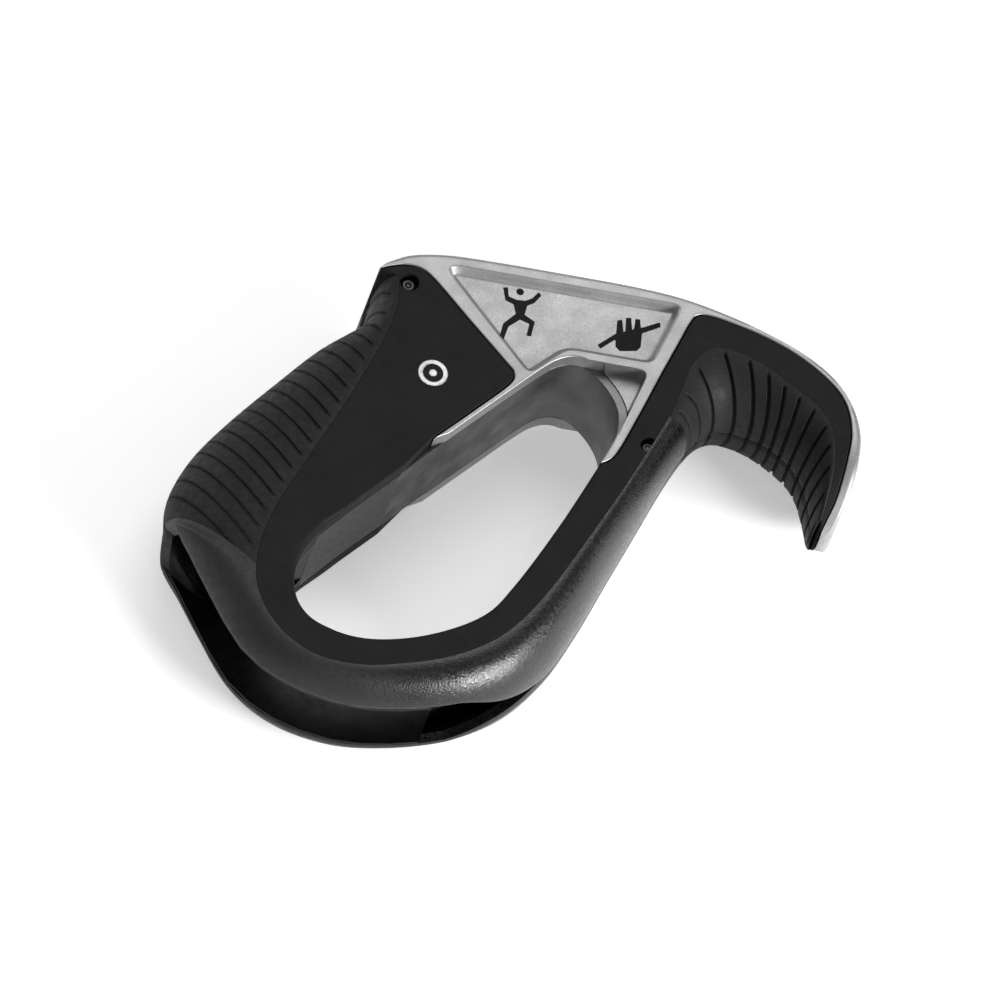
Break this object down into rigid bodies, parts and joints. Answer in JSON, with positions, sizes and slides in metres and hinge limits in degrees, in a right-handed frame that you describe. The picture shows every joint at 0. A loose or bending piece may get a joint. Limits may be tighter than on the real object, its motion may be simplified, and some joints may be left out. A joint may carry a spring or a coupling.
{
  "type": "belay device",
  "caption": "Channel belay device with a carabiner loop, a steel wear plate under a die-cast spine, a ribbed finger grip and a thumb hook.",
  "frame": {"origin": "under the middle of the plan box, on the back face that the device lies on", "axes": "+X along the spine towards the thumb hook, +Y from the rope mouth towards the spine, +Z out of the front face"},
  "size_m": [0.1122, 0.0858, 0.023],
  "materials": {
    "die_cast": "bead-blasted, fine grain",
    "steel_plate": "satin, ground along the rope",
    "gloss_black": "smooth moulded gloss",
    "shell_black": "fine matte moulded texture",
    "textured_black": "coarse spark-eroded texture",
    "grip_rubber": "matte soft touch",
    "rivet_steel": "turned",
    "icon_fill": "dark paint in the recess",
    "mark_white": "pad-printed white"
  },
  "bodies": {
    "root": {"frame_front": "die_cast", "frame_back": "die_cast", "wear_plate": "steel_plate", "rope_guide": "gloss_black", "channel_liner_front": "gloss_black", "channel_liner_back": "gloss_black", "shell_front": "shell_black", "shell_back": "shell_black", "ring_cover_front": "textured_black", "ring_cover_back": "textured_black", "finger_grip_front": "grip_rubber", "finger_grip_back": "grip_rubber", "thumb_grip_front": "grip_rubber", "thumb_grip_back": "grip_rubber", "top_rivet": "rivet_steel", "arm_rivet": "rivet_steel", "top_bush": "rivet_steel", "arm_bush": "rivet_steel", "locating_pins": "rivet_steel", "climber_icon": "icon_fill", "brake_hand_icon": "icon_fill", "grip_mark": "mark_white"}
  },
  "joints": []
}
